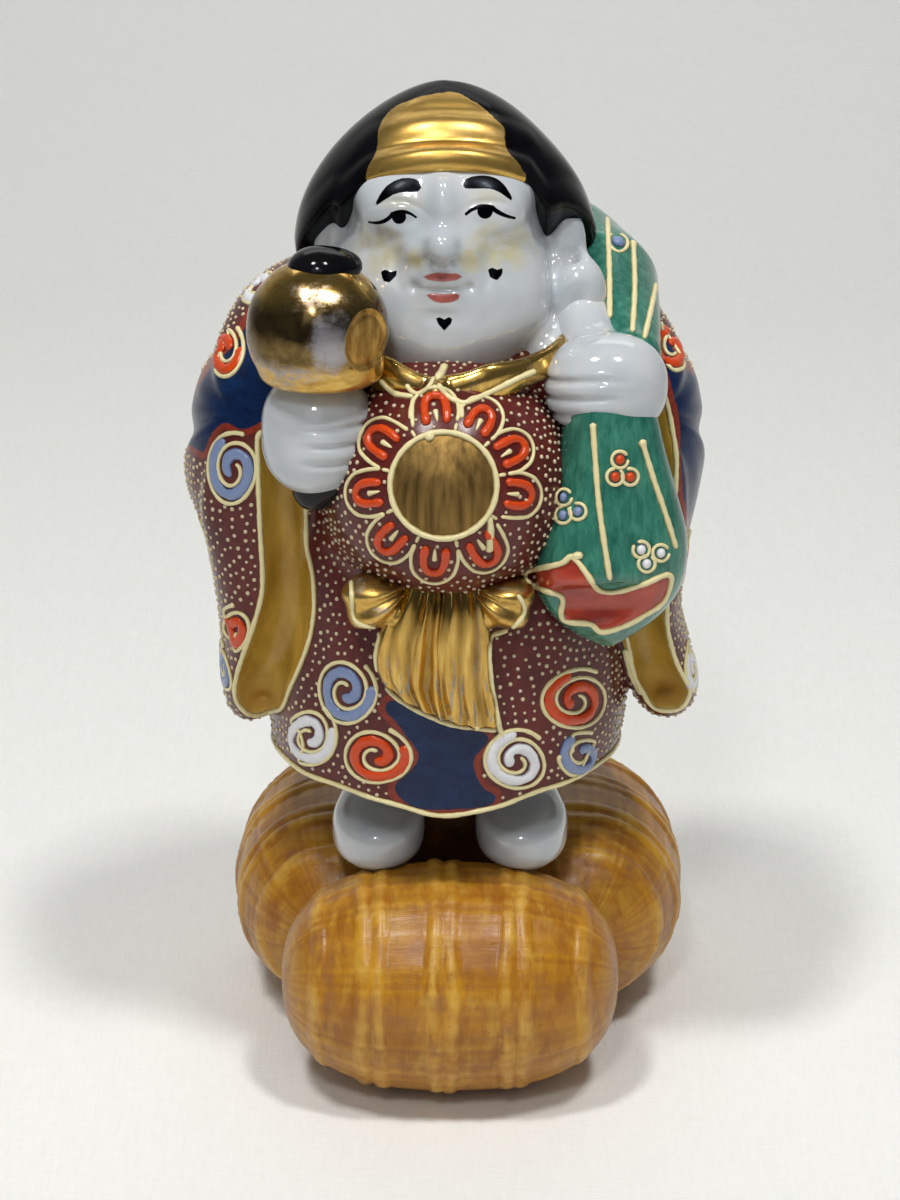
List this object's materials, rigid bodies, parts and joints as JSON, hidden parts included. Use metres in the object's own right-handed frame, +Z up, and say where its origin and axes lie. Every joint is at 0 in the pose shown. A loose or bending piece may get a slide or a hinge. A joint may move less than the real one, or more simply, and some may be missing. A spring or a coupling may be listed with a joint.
{
  "type": "figurine",
  "caption": "Glazed porcelain ornament of a stout, smiling lucky god in a cap and long-sleeved robe, raising a mallet and holding a sack, on three straw rice bales.",
  "frame": {"origin": "under the middle of the figure's width and depth, in the plane of the flats that the three bales stand on", "axes": "+Z up, -Y the way the figure faces, +X towards its own left hand, the one that grips the sack"},
  "size_m": [0.1244, 0.128, 0.24],
  "materials": {
    "glazed_porcelain": "glossy glazed and overglaze-painted porcelain",
    "raised_enamel": "glossy raised enamel dots and lines",
    "gold_lustre": "bright gold lustre, worn in places"
  },
  "bodies": {
    "root": {"daikoku_figure": "glazed_porcelain"}
  },
  "joints": []
}
